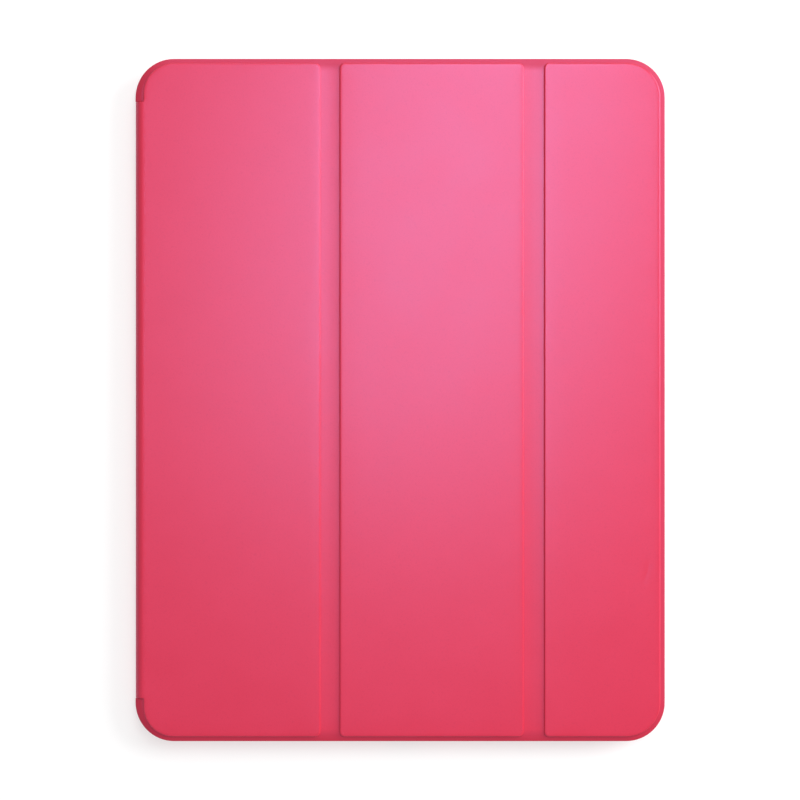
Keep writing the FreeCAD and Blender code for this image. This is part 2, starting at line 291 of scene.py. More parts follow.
class Sheet:
    """A closed thin solid, drawn in its flat pattern and bent by a place function."""

    def __init__(self, place, outline, holes=(), bends=(), extra=(), spacing=FILL_STEP):
        self.place = place
        self.bm = bmesh.new()
        walls = [self.wall(boundary) for boundary in [outline, *holes]]
        self.surface([first for first, last in walls], bends, extra, spacing)
        self.surface([last for first, last in walls], bends, extra, spacing)

    def point(self, u, y, depth):
        return self.bm.verts.new(self.place(u, y, depth))

    def wall(self, outline):
        """The edge along one boundary, as rings from the underside to the outer surface."""
        rings = []
        for level in range(len(outline.stops[0][2])):
            ring = []
            for place, outward, edge in outline.stops:
                inset, depth = edge[level]
                u = round(place.x - outward.x * inset, 4)
                y = round(place.y - outward.y * inset, 4)
                ring.append((u, y, depth, self.point(u, y, depth)))
            rings.append(ring)
        for lower, upper in zip(rings, rings[1:]):
            for i in range(len(lower)):
                j = (i + 1) % len(lower)
                self.bm.faces.new((lower[i][3], lower[j][3], upper[j][3], upper[i][3]))
        return rings[0], rings[-1]

    def surface(self, loops, bends, extra, spacing):
        """Fills between boundaries with small triangles. Each bend is a u whose whole line is kept."""
        flat, verts, edges = [], [], []
        for loop in loops:
            first = len(flat)
            flat += [Vector((u, y)) for u, y, depth, vert in loop]
            verts += [vert for u, y, depth, vert in loop]
            edges += [(first + i, first + (i + 1) % len(loop)) for i in range(len(loop))]
        depth = loops[0][0][2]
        outer = np.array([tuple(p) for p in flat[:len(loops[0])]])
        for u in bends:
            ends = [i for i in range(len(loops[0])) if abs(flat[i].x - u) < SAME_PLACE]
            low = min(ends, key=lambda i: flat[i].y)
            high = max(ends, key=lambda i: flat[i].y)
            count = max(1, round((flat[high].y - flat[low].y) / spacing))
            previous = low
            for step in range(1, count):
                y = flat[low].y + (flat[high].y - flat[low].y) * step / count
                flat.append(Vector((flat[low].x, y)))
                verts.append(self.point(u, y, depth))
                edges.append((previous, len(flat) - 1))
                previous = len(flat) - 1
            edges.append((previous, high))
        tree = KDTree(len(flat))
        for i, p in enumerate(flat):
            tree.insert((p.x, p.y, 0.0), i)
        tree.balance()
        holes = [np.array([stop[:2] for stop in loop]) for loop in loops[1:]]

        def within(points):
            keep = inside(outer, points)
            for hole in holes:
                keep &= ~inside(hole, points)
            return keep

        for share, points in ((FILL_CLEARANCE, self.grid(outer, spacing)),
                              (EXTRA_CLEARANCE, np.array(extra))):
            if not len(points):
                continue
            for u, y in points[within(points)]:
                if tree.find((u, y, 0.0))[2] > spacing * share:
                    flat.append(Vector((u, y)))
                    verts.append(self.point(u, y, depth))
        placed, _, faces, origin, _, _ = delaunay_2d_cdt(flat, edges, [], 0, 1e-6)
        centres = np.array([sum((placed[i] for i in face), Vector((0, 0))) / len(face)
                            for face in faces])
        for face, kept in zip(faces, within(centres)):
            if kept:
                self.bm.faces.new([verts[origin[i][0]] for i in face])

    def grid(self, outer, spacing):
        """Staggered points over the box of a boundary."""
        low, high = outer.min(axis=0), outer.max(axis=0)
        columns, rows = (max(1, round(side / spacing)) for side in high - low)
        return np.array([(low[0] + (high[0] - low[0]) * (i + 0.5 * (j % 2)) / columns,
                          low[1] + (high[1] - low[1]) * j / rows)
                         for i in range(1, columns) for j in range(1, rows)])

    def finish(self, name, material, slot, replaced, body=None, bend=None):
        """The sheet as a piece in place of CAD nodes, riding on a body or fixed where it lies."""
        loose = [vert for vert in self.bm.verts if not vert.link_faces]
        bmesh.ops.delete(self.bm, geom=loose, context="VERTS")
        bmesh.ops.remove_doubles(self.bm, verts=self.bm.verts, dist=WELD_DISTANCE)
        bmesh.ops.recalc_face_normals(self.bm, faces=self.bm.faces)
        bmesh.ops.scale(self.bm, vec=(MM, MM, MM), verts=self.bm.verts)
        mesh = bpy.data.meshes.new(name)
        self.bm.to_mesh(mesh)
        self.bm.free()
        mesh.shade_smooth()
        mesh.set_sharp_from_angle(angle=math.radians(SHARP_ANGLE))
        mesh.materials.append(material)
        piece = bpy.data.objects.new(name, mesh)
        bpy.context.scene.collection.objects.link(piece)
        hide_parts(*replaced)
        if body:
            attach(piece, body)
        else:
            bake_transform(piece)
        return piece


def steps(start, end, step):
    """Even places from start to end, both included."""
    count = max(1, round(abs(end - start) / step))
    return [start + (end - start) * i / count for i in range(count + 1)]


# ---------------------------------------------------------------- materials

def node_group(name, inputs, outputs):
    """An empty shader node group. inputs are (name, socket type, default); outputs (name, type)."""
    group = bpy.data.node_groups.new(name, "ShaderNodeTree")
    for label, kind, default in inputs:
        socket = group.interface.new_socket(name=label, in_out="INPUT", socket_type=kind)
        socket.default_value = default
    for label, kind in outputs:
        group.interface.new_socket(name=label, in_out="OUTPUT", socket_type=kind)
    return group, group.nodes.new("NodeGroupInput"), group.nodes.new("NodeGroupOutput")


def plug(tree, socket, value):
    """Links an output to a socket, or sets the socket's own value."""
    if isinstance(value, bpy.types.NodeSocket):
        tree.links.new(value, socket)
    else:
        socket.default_value = value


def feed(tree, node, **values):
    """Feeds a node's inputs by name, with _ for a space."""
    for label, value in values.items():
        plug(tree, node.inputs[label.replace("_", " ")], value)


def add_node(tree, kind, **values):
    """A new node, with the inputs it is given."""
    node = tree.nodes.new(kind)
    feed(tree, node, **values)
    return node


def math_node(tree, operation, a, b=None, c=None, clamp=False):
    """A Math node fed by sockets or numbers; returns its output."""
    node = tree.nodes.new("ShaderNodeMath")
    node.operation = operation
    node.use_clamp = clamp
    for socket, value in zip(node.inputs, (a, b, c)):
        if value is not None:
            plug(tree, socket, value)
    return node.outputs[0]


def noise_node(tree, vector, scale, detail=2.0, roughness=0.5):
    """A Noise texture on a vector; scale may be a number or a socket."""
    node = add_node(tree, "ShaderNodeTexNoise", Vector=vector, Scale=scale, Detail=detail,
                    Roughness=roughness)
    return node.outputs["Fac"]


def mix_colour(tree, factor, a, b):
    """A colour mix; a and b are sockets or colours."""
    node = add_node(tree, "ShaderNodeMix", Factor=factor)
    node.data_type = "RGBA"
    for socket, value in ((node.inputs[6], a), (node.inputs[7], b)):
        plug(tree, socket, (*value, 1.0) if isinstance(value, tuple) else value)
    return node.outputs[2]


def grain_group():
    """Fine pebbled grain and broad waves of a pressed sheet, as heights and a pore mask."""
    tree, start, end = node_group(
        "pressed_grain",
        [("Vector", "NodeSocketVector", (0.0, 0.0, 0.0)), ("Pebble scale", "NodeSocketFloat", 1900.0),
         ("Wave scale", "NodeSocketFloat", 28.0), ("Wave share", "NodeSocketFloat", 0.5)],
        [("Height", "NodeSocketFloat"), ("Pores", "NodeSocketFloat"), ("Mottle", "NodeSocketFloat")])
    vector = start.outputs["Vector"]
    pebble = tree.nodes.new("ShaderNodeTexVoronoi")
    pebble.feature = "SMOOTH_F1"
    feed(tree, pebble, Smoothness=0.6, Vector=vector, Scale=start.outputs["Pebble scale"])
    fine_scale = math_node(tree, "MULTIPLY", start.outputs["Pebble scale"], 2.3)
    fine = noise_node(tree, vector, fine_scale, 3.0, 0.6)
    wave = noise_node(tree, vector, start.outputs["Wave scale"], 2.0, 0.45)
    mottle = noise_node(tree, vector, 55.0, 4.0, 0.6)
    raised = math_node(tree, "SUBTRACT", 1.0, pebble.outputs["Distance"])
    height = math_node(tree, "MULTIPLY_ADD", fine, 0.35, raised)
    height = math_node(tree, "MULTIPLY_ADD", wave, start.outputs["Wave share"], height)
    pores = math_node(tree, "SUBTRACT", pebble.outputs["Distance"], 0.55, clamp=True)
    feed(tree, end, Height=height, Pores=pores, Mottle=mottle)
    return tree


def wear_group():
    """Slight rubbing on outer edges, in patches, from the surface's own curvature."""
    tree, start, end = node_group(
        "edge_rub",
        [("Vector", "NodeSocketVector", (0.0, 0.0, 0.0)), ("Break up", "NodeSocketFloat", 260.0),
         ("Amount", "NodeSocketFloat", 0.5)],
        [("Rub", "NodeSocketFloat")])
    geometry = tree.nodes.new("ShaderNodeNewGeometry")
    edge = add_node(tree, "ShaderNodeMapRange", From_Min=0.52, From_Max=0.62,
                    Value=geometry.outputs["Pointiness"])
    patch = noise_node(tree, start.outputs["Vector"], start.outputs["Break up"], 3.0, 0.6)
    rub = math_node(tree, "MULTIPLY", edge.outputs[0], patch, clamp=True)
    rub = math_node(tree, "MULTIPLY", rub, start.outputs["Amount"], clamp=True)
    feed(tree, end, Rub=rub)
    return tree


def rim_group():
    """How near a place is to the cover's rounded outline: 0 on the faces, 1 at the rim. It sets where
    the rim's colour is painted darker as painted shade, and where the rim is less glossy. Lengths are
    in metres."""
    tree, start, end = node_group(
        "rim_shade_band",
        [("Vector", "NodeSocketVector", (0.0, 0.0, 0.0)), ("Half width", "NodeSocketFloat", 0.1),
         ("Half length", "NodeSocketFloat", 0.1), ("Corner", "NodeSocketFloat", 0.016),
         ("Band", "NodeSocketFloat", 0.002)],
        [("Rim", "NodeSocketFloat")])
    place = add_node(tree, "ShaderNodeSeparateXYZ", Vector=start.outputs["Vector"])
    over = []
    for axis, half in (("X", "Half width"), ("Y", "Half length")):
        straight = math_node(tree, "SUBTRACT", start.outputs[half], start.outputs["Corner"])
        away = math_node(tree, "ABSOLUTE", place.outputs[axis])
        over.append(math_node(tree, "SUBTRACT", away, straight))
    clear = [math_node(tree, "MAXIMUM", value, 0.0) for value in over]
    squares = [math_node(tree, "MULTIPLY", value, value) for value in clear]
    reach = math_node(tree, "SQRT", math_node(tree, "ADD", *squares))
    inner = math_node(tree, "MINIMUM", math_node(tree, "MAXIMUM", *over), 0.0)
    reach = math_node(tree, "ADD", reach, inner)
    from_rim = math_node(tree, "SUBTRACT", start.outputs["Corner"], reach)
    share = math_node(tree, "DIVIDE", from_rim, start.outputs["Band"], clamp=True)
    feed(tree, end, Rim=math_node(tree, "SUBTRACT", 1.0, share, clamp=True))
    return tree


GRAIN = grain_group()
WEAR = wear_group()
RIM = rim_group()


def new_material(name):
    """A material, its tree, its Principled shader and the Object coordinates to build it on."""
    material = bpy.data.materials.new(name)
    material.use_nodes = True
    tree = material.node_tree
    shader = tree.nodes["Principled BSDF"]
    place = tree.nodes.new("ShaderNodeTexCoord").outputs["Object"]
    return material, tree, shader, place


def place_group(tree, group, vector, **values):
    """Places a shared group, feeds it a vector and sets its named values."""
    node = tree.nodes.new("ShaderNodeGroup")
    node.node_tree = group
    feed(tree, node, Vector=vector, **values)
    return node


def bump_from(tree, height, distance, strength=1.0):
    """A Bump node on a height; distance is in metres."""
    bump = add_node(tree, "ShaderNodeBump", Distance=distance, Strength=strength, Height=height)
    return bump.outputs["Normal"]


# Painted shade: the colour of the rim is painted darker, and slightly that of the groove floors, up to
# a height above them. It acts over a band in from the outline.
RIM_PAINTED_SHADE = 0.75
FLOOR_PAINTED_SHADE = 0.1
PAINTED_SHADE_BAND = 2.5 * FLANGE
PAINTED_SHADE_HEIGHT = 0.6
PAINTED_SHADE_FADE = 0.5


def coated_leather():
    """The bright outer skin: smooth coated leather with a fine grain and a pearly gloss."""
    material, tree, shader, place = new_material("coated_leather")
    grain = place_group(tree, GRAIN, place, Pebble_scale=1900.0, Wave_scale=30.0, Wave_share=0.6)
    rub = place_group(tree, WEAR, place, Break_up=300.0, Amount=0.35)
    deep, bright, in_pores = (0.685, 0.017, 0.034), (0.735, 0.024, 0.048), (0.6, 0.014, 0.03)
    # The second colour is painted shade, for the rim and the groove floors.
    rubbed, painted_rim_shade = (0.85, 0.12, 0.2), (0.56, 0.006, 0.011)
    colour = mix_colour(tree, grain.outputs["Mottle"], deep, bright)
    colour = mix_colour(tree, grain.outputs["Pores"], colour, in_pores)
    colour = mix_colour(tree, rub.outputs["Rub"], colour, rubbed)
    rim = place_group(tree, RIM, place, Half_width=COVER_RIGHT * MM, Half_length=COVER_TOP * MM,
                      Corner=COVER_CORNER * MM, Band=PAINTED_SHADE_BAND * MM)
    pressed = math_node(tree, "MULTIPLY", rim.outputs["Rim"], 2.0, clamp=True)
    height = add_node(tree, "ShaderNodeSeparateXYZ", Vector=place).outputs["Z"]
    sunk = math_node(tree, "SUBTRACT", (FLOOR_Z + PAINTED_SHADE_HEIGHT) * MM, height)
    sunk = math_node(tree, "DIVIDE", sunk, PAINTED_SHADE_FADE * MM, clamp=True)
    outer = math_node(tree, "SUBTRACT", height, (LINING_Z0 - CORNER_CURL) * MM)
    outer = math_node(tree, "DIVIDE", outer, PAINTED_SHADE_FADE * MM, clamp=True)
    floor = math_node(tree, "MULTIPLY", sunk, outer)
    pressed = math_node(tree, "MULTIPLY", pressed, floor)
    floor = math_node(tree, "MULTIPLY", floor, FLOOR_PAINTED_SHADE)
    # Painted shade: the rim is painted much darker and the groove floors and flange slightly darker;
    # the same amount also makes them rougher.
    painted_shade = math_node(tree, "MULTIPLY_ADD", pressed, RIM_PAINTED_SHADE, floor, clamp=True)
    colour = mix_colour(tree, painted_shade, colour, painted_rim_shade)
    gloss = math_node(tree, "MULTIPLY_ADD", grain.outputs["Mottle"], 0.06, 0.29)
    gloss = math_node(tree, "MULTIPLY_ADD", painted_shade, 0.22, gloss)
    bump = bump_from(tree, grain.outputs["Height"], 0.00003, 0.35)
    feed(tree, shader, Base_Color=colour, Roughness=gloss, Normal=bump, IOR=1.6,
         Specular_IOR_Level=0.95, Specular_Tint=(0.4, 0.5, 1.0, 1.0))
    return material


def brushed_lining():
    """The inner lining: short-napped microfibre."""
    material, tree, shader, place = new_material("brushed_lining")
    nap = noise_node(tree, place, 2600.0, 4.0, 0.7)
    stroke = noise_node(tree, place, 42.0, 3.0, 0.55)
    shade = math_node(tree, "MULTIPLY", stroke, 0.45)
    shade = math_node(tree, "MULTIPLY_ADD", nap, 0.55, shade)
    colour = mix_colour(tree, shade, (0.36, 0.09, 0.14), (0.72, 0.27, 0.36))
    feed(tree, shader, Base_Color=colour, Roughness=0.95, Normal=bump_from(tree, shade, 0.00008, 0.7),
         Sheen_Weight=0.5, Sheen_Roughness=0.45, Sheen_Tint=(1.0, 0.75, 0.82, 1.0))
    return material


def moulded_tray():
    """Soft moulded plastic of the tray and button covers."""
    material, tree, shader, place = new_material("moulded_soft_plastic")
    grain = place_group(tree, GRAIN, place, Pebble_scale=3600.0, Wave_scale=45.0, Wave_share=0.2)
    rub = place_group(tree, WEAR, place, Break_up=420.0, Amount=0.4)
    colour = mix_colour(tree, grain.outputs["Mottle"], (0.60, 0.03, 0.07), (0.68, 0.05, 0.10))
    colour = mix_colour(tree, rub.outputs["Rub"], colour, (0.85, 0.18, 0.28))
    gloss = math_node(tree, "MULTIPLY_ADD", grain.outputs["Pores"], 0.2, 0.46)
    bump = bump_from(tree, grain.outputs["Height"], 0.00001, 0.5)
    feed(tree, shader, Base_Color=colour, Roughness=gloss, Normal=bump, Specular_IOR_Level=0.5,
         Subsurface_Weight=0.08, Subsurface_Scale=0.002)
    return material


def pressed_board():
    """Grey fibre board inside the panels and spine."""
    material, tree, shader, place = new_material("pressed_fibre_board")
    fibre = noise_node(tree, place, 900.0, 5.0, 0.7)
    colour = mix_colour(tree, fibre, (0.34, 0.31, 0.27), (0.56, 0.53, 0.48))
    feed(tree, shader, Base_Color=colour, Roughness=0.9, Normal=bump_from(tree, fibre, 0.00005, 0.6))
    return material


def plated_magnet():
    """Nickel plating with fine scratches."""
    material, tree, shader, place = new_material("plated_magnet")
    scratch = noise_node(tree, place, 1500.0, 4.0, 0.65)
    colour = mix_colour(tree, scratch, (0.55, 0.55, 0.56), (0.75, 0.74, 0.72))
    gloss = math_node(tree, "MULTIPLY_ADD", scratch, 0.2, 0.2)
    feed(tree, shader, Base_Color=colour, Metallic=1.0, Roughness=gloss)
    return material


LEATHER = coated_leather()
MICROFIBRE = brushed_lining()
PLASTIC = moulded_tray()
BOARD = pressed_board()
MAGNET = plated_magnet()


# ---------------------------------------------------------------- cover

LEFT_1, RIGHT_1 = face_sides(1)
LEFT_2, RIGHT_2 = face_sides(2)
LEFT_3, RIGHT_3 = face_sides(3)
GROOVES = ((RIGHT_1, LEFT_2), (RIGHT_2, LEFT_3))
OUT_CREASE_1, IN_CREASE_1 = (cad("fold_strip_1_skin", side, "x") for side in (0, 1))
OUT_CREASE_2, IN_CREASE_2 = (cad("fold_strip_2_skin", side, "x") for side in (0, 1))
MIDDLE_1 = (OUT_CREASE_1 + IN_CREASE_1) / 2
MIDDLE_2 = (OUT_CREASE_2 + IN_CREASE_2) / 2
GROOVE_SEAM = RIGHT_2 - SEAM_INSET
FACE_TOP = COVER_TOP - FLANGE

# A small crescent crease near the closing edge of panel 3: an arc about a centre, in degrees.
CREASE_CENTRE = Vector((88.8, -68.4))
CREASE_RADIUS = 15.1
CREASE_DEPTH = 0.045
CREASE_WIDTH = 0.9
CREASE_MIDDLE = -14.0
CREASE_SPREAD = 20.0
CREASE_MARGIN = 2.0
CREASE_REACH = 1.4 * CREASE_SPREAD
CREASE_STEP = 0.3
CREASE_TURN = 2.0


def crescent_crease(u, y):
    """Depth of the crescent crease."""
    offset = Vector((u, y)) - CREASE_CENTRE
    angle = math.degrees(math.atan2(offset.y, offset.x)) - CREASE_MIDDLE
    along = max(0.0, 1.0 - (angle / CREASE_SPREAD) ** 4)
    across = (offset.length - CREASE_RADIUS) / CREASE_WIDTH
    return CREASE_DEPTH * along * math.exp(-across * across)


def crease_points():
    """Extra points around the crease, so that its shape is in the mesh."""
    points = []
    for ring in steps(CREASE_RADIUS - CREASE_MARGIN, CREASE_RADIUS + CREASE_MARGIN, CREASE_STEP):
        for angle in steps(-CREASE_REACH, CREASE_REACH, CREASE_TURN):
            turn = math.radians(CREASE_MIDDLE + angle)
            across, along = ring * math.cos(turn), ring * math.sin(turn)
            points.append((CREASE_CENTRE.x + across, CREASE_CENTRE.y + along))
    return points


def at_surface(depth):
    """1 at a sheet's outer surface, falling to 0 a little way down."""
    return max(0.0, 1.0 - depth / SURFACE_DEPTH)


def face_place(u, y, depth):
    """A raised face: level, with the slight ripple of skin over board, and the crease."""
    ripple = FACE_RIPPLE * (0.5 + 0.5 * noise.noise(Vector((u / RIPPLE_ACROSS, y / RIPPLE_ALONG, 0.3))))
    return u, y, TOP_Z - depth - at_surface(depth) * (ripple + crescent_crease(u, y))


def roll_face_place(u, y, depth):
    """Panel 1's face, which runs on over the top roll and down the spine."""
    if u >= TOP_ROLL_X:
        return face_place(u, y, depth)
    radius = TOP_ROLL - depth
    along = TOP_ROLL_X - u
    angle = along / TOP_ROLL
    if angle < math.pi / 2:
        return TOP_ROLL_X - radius * math.sin(angle), y, SPINE_Z1 + radius * math.cos(angle)
    return TOP_ROLL_X - radius, y, SPINE_Z1 - (along - TOP_ROLL * math.pi / 2)


def groove_dip(u):
    """How far a groove's floor sags between its two faces. It is lowest at its middle."""
    for left, right in GROOVES:
        if left < u < right:
            return GROOVE_DIP * math.sin(math.pi * (u - left) / (right - left))
    return 0.0


def flange_fall(u, y):
    """How far the flange has fallen towards the cover's rounded outline."""
    across = abs(u) - (COVER_RIGHT - COVER_CORNER)
    along = abs(y) - (COVER_TOP - COVER_CORNER)
    from_rim = COVER_CORNER - (math.hypot(across, along) if across > 0 and along > 0
                               else max(across, along))
    return FLANGE_FALL * max(0.0, 1.0 - from_rim / FLANGE)


def from_spine_corner(u, y):
    """Where a place lies in a cover corner beside the spine: its angle up from the spine's side, and
    its distance in from the outline. None elsewhere."""
    across = COVER_LEFT + COVER_CORNER - u
    along = max(0.0, abs(y) - (COVER_TOP - COVER_CORNER))
    if across <= 0 or abs(y) < SPINE_TOP:
        return None
    return math.atan2(along, across), COVER_CORNER - math.hypot(across, along)


def corner_curl(u, y):
    """How far a corner beside the spine is rolled down, so that it carries on from the top roll. The
    curl is widest beside the spine and dies away round the corner."""
    place = from_spine_corner(u, y)
    if place is None:
        return 0.0
    angle, from_rim = place
    width = (TOP_ROLL_X - COVER_LEFT) * (1.0 - CURL_NARROWING * math.sin(angle))
    return CORNER_CURL * math.cos(angle) ** 2 * max(0.0, 1.0 - from_rim / width) ** 2


def curl_points():
    """Extra points in the corners beside the spine, so that the curl is in the mesh."""
    points = []
    for inset in steps(0.5, TOP_ROLL_X - COVER_LEFT, CURL_STEP):
        ring = COVER_CORNER - inset
        places = [(ring * math.cos(turn), ring * math.sin(turn))
                  for turn in steps(0, math.pi / 2, CURL_TURN)]
        places += [(ring, -CURL_STEP * row) for row in (1, 2, 3)]
        for across, along in places:
            for side in (-1, 1):
                points.append((COVER_LEFT + COVER_CORNER - across,
                               side * (COVER_TOP - COVER_CORNER + along)))
    return points


def base_place(u, y, depth):
    """The thin sheet of flange and groove floor. Its rim is pressed thinner than the rest."""
    sag = max(groove_dip(u), flange_fall(u, y))
    return u, y, FLOOR_Z - depth - at_surface(depth) * sag - corner_curl(u, y)


def lining_place(u, y, depth):
    """The lining under the cover. Its outer surface faces the tablet."""
    return u, y, LINING_Z0 + depth - corner_curl(u, y)


def window(left, right, left_corner, right_corner):
    """The opening in a flange sheet that its board sits in, from the sides and corners of its face."""
    inset = SKIN - WINDOW_GAP
    outline = plate(left + inset, right - inset, FACE_TOP - inset, left_corner - inset,
                    right_corner - inset, cut_edge(SKIN))
    outline.stops.reverse()
    return outline


def bend_places(*creases):
    """Places of the kept lines across each crease."""
    return [u for crease in creases for u in steps(crease - BEND_HALF, crease + BEND_HALF, BEND_STEP)]


def groove_places(left, right):
    """Places of the kept lines over a groove floor, for its sag."""
    return steps(left, right, GROOVE_STEP)


def crease_bend(first, second, crease, level):
    """Two bodies and the ends of the band across one crease line."""
    return first, second, (crease - BEND_HALF, 0, level), (crease + BEND_HALF, 0, level)


def make_faces():
    """The raised faces of panels 2 and 3."""
    for number, left, right, corner, extra in (
            (2, LEFT_2, RIGHT_2, FACE_CORNER_GROOVE, ()),
            (3, LEFT_3, RIGHT_3, FACE_CORNER_CLOSING, crease_points())):
        outline = plate(left, right, FACE_TOP, FACE_CORNER_GROOVE, corner, raised_edge())
        sheet = Sheet(face_place, outline, extra=extra)
        sheet.finish("panel_%d_face" % number, LEATHER, "cover_skin", ["panel_%d_skin" % number],
                     body="panel_%d" % number)


# Beyond the spine's end, panel 1's face edge runs on this far before it turns in to the roll.
WRAP_SHOULDER = 1.0
# Rows of extra points beside the roll, by their distance from it, with a margin at both ends.
ROLL_ROWS = (0.4, 1.1, 2.4)
ROLL_ROW_MARGIN = 2.0
ROLL_ROW_STEP = 3.0
# The face stops bending just short of the flat.
WRAP_BEND_END = TOP_ROLL_X - 0.1


def make_wrapped_face():
    """Panel 1's raised face in one sheet with the top roll and the upper half of the spine."""
    roll_end = TOP_ROLL_X - TOP_ROLL * math.pi / 2
    last = roll_end - (SPINE_Z1 - SPINE_MIDDLE)
    bends = steps(TOP_ROLL_X, roll_end, ROLL_STEP)
    face, thin = raised_edge(), thin_edge(SKIN, RIM_ROUND)
    spine_corner, groove_corner = FACE_CORNER_SPINE, FACE_CORNER_GROOVE
    outline = Outline()
    outline.turn(RIGHT_1 - groove_corner, FACE_TOP - groove_corner, groove_corner, 0, 90, face)
    outline.side(LEFT_1 + spine_corner, FACE_TOP, (0, 1), face)
    outline.turn(LEFT_1 + spine_corner, FACE_TOP - spine_corner, spine_corner, 90, 180, face)
    outline.corner(LEFT_1, SPINE_TOP + WRAP_SHOULDER, (-1, 0), face)
    outline.corner(TOP_ROLL_X, SPINE_TOP, (-1, 1), thin)
    outline.side(last, SPINE_TOP, (0, 1), thin, bends)
    outline.corner(last, SPINE_TOP, (0, 1), thin)
    outline.mirror(thin, face, right_outward=(1, 0))
    row_end = SPINE_TOP - ROLL_ROW_MARGIN
    start_of_roll = [(TOP_ROLL_X + across, along) for across in ROLL_ROWS
                     for along in steps(-row_end, row_end, ROLL_ROW_STEP)]
    sheet = Sheet(roll_face_place, outline, bends=bends[1:], extra=start_of_roll)
    blend_start = TOP_ROLL_X - TOP_ROLL + SKIN
    sheet.finish("panel_1_face_and_wrap", LEATHER, "cover_skin",
                 ["panel_1_skin", "spine_edge_top_skin", "spine_skin"],
                 bend=("spine", "panel_1", (blend_start, 0, SPINE_Z1), (WRAP_BEND_END, 0, SPINE_Z1)))


# Kept lines stay this far inside a sheet's ends: those of a crease, and those of a groove's sag.
BEND_CLEARANCE = 0.05
SAG_CLEARANCE = 0.3


def make_cover_layer(kind, place, edge, slot_edge, material, slot, level, windows):
    """One thin layer of the cover in four sheets, each spanning one crease: skin or lining."""
    floor_1, floor_2 = groove_places(RIGHT_1, LEFT_2), groove_places(RIGHT_2, LEFT_3)
    layers = (
        ("panel_1", "fold_strip_1", OUT_CREASE_1, COVER_LEFT, MIDDLE_1, floor_1,
         ["panel_1_", "fold_strip_1_"], (LEFT_1, RIGHT_1, FACE_CORNER_SPINE, FACE_CORNER_GROOVE)),
        ("fold_strip_1", "panel_2", IN_CREASE_1, MIDDLE_1, GROOVE_SEAM, floor_1,
         ["panel_2_", "fold_strip_1_"], (LEFT_2, RIGHT_2, FACE_CORNER_GROOVE, FACE_CORNER_GROOVE)),
        ("panel_2", "fold_strip_2", OUT_CREASE_2, GROOVE_SEAM, MIDDLE_2, floor_2,
         ["fold_strip_2_"], None),
        ("fold_strip_2", "panel_3", IN_CREASE_2, MIDDLE_2, COVER_RIGHT, floor_2,
         ["panel_3_", "fold_strip_2_"],
         (LEFT_3, RIGHT_3, FACE_CORNER_GROOVE, FACE_CORNER_CLOSING)))
    made = []
    for first, second, crease, u0, u1, floor, replaced, board in layers:
        bends = [u for u in bend_places(crease) if u0 + BEND_CLEARANCE < u < u1 - BEND_CLEARANCE]
        bends += [u for u in floor if u0 + SAG_CLEARANCE < u < u1 - SAG_CLEARANCE
                  and abs(u - crease) > BEND_HALF + BEND_STEP / 2]
        if u0 == COVER_LEFT:
            outline = spine_side_plate(u1, edge, slot_edge, bends)
        else:
            right = COVER_CORNER if u1 == COVER_RIGHT else None
            outline = plate(u0, u1, COVER_TOP, None, right, edge, bends)
        holes = [window(*board)] if windows and board else []
        extra = curl_points() if u0 == COVER_LEFT else ()
        sheet = Sheet(place, outline, holes=holes, bends=bends, extra=extra)
        made.append(sheet.finish("%s_%s_%s" % (first, second, kind), material, slot,
                                 [name + kind for name in replaced],
                                 bend=crease_bend(first, second, crease, level)))
    return made


make_faces()
make_wrapped_face()


# ---------------------------------------------------------------- spine and back

# The camera opening lies a set distance in from the tray's right and top walls.
CAMERA_INSET = 26.0
CAMERA_HALF = 18.0
CAMERA_CORNER = 9.0
CAMERA_RING = 1.6
CAMERA_CENTRE = (cad("tray_shell", 1, "x") - CAMERA_INSET, cad("tray_shell", 1, "y") - CAMERA_INSET)
BOTTOM_ROLL_BEND = ("back_shell", "spine", (SPINE_LEFT, 0, SKIN), (SPINE_LEFT, 0, SPINE_Z0))


def back_place(u, y, depth):
    """The back skin, which lies under the tray and rolls up into the spine."""
    if u >= BOTTOM_ROLL_X:
        return u, y, depth
    radius = BOTTOM_ROLL - depth
    along = BOTTOM_ROLL_X - u
    angle = along / BOTTOM_ROLL
    if angle < math.pi / 2:
        return BOTTOM_ROLL_X - radius * math.sin(angle), y, BOTTOM_ROLL - radius * math.cos(angle)
    return BOTTOM_ROLL_X - radius, y, SPINE_Z0 + along - BOTTOM_ROLL * math.pi / 2


def camera_window():
    """The hole in the back skin around the tray's camera ring."""
    centre_x, centre_y = CAMERA_CENTRE
    half, radius = CAMERA_HALF + CAMERA_RING, CAMERA_CORNER + CAMERA_RING
    outline = Outline()
    edge = thin_edge(SKIN, RIM_ROUND)
    for quadrant, (sx, sy) in enumerate(((1, 1), (-1, 1), (-1, -1), (1, -1))):
        outline.turn(centre_x + sx * (half - radius), centre_y + sy * (half - radius), radius,
                     90 * quadrant, 90 * quadrant + 90, edge, hole=True)
    outline.stops.reverse()
    return outline


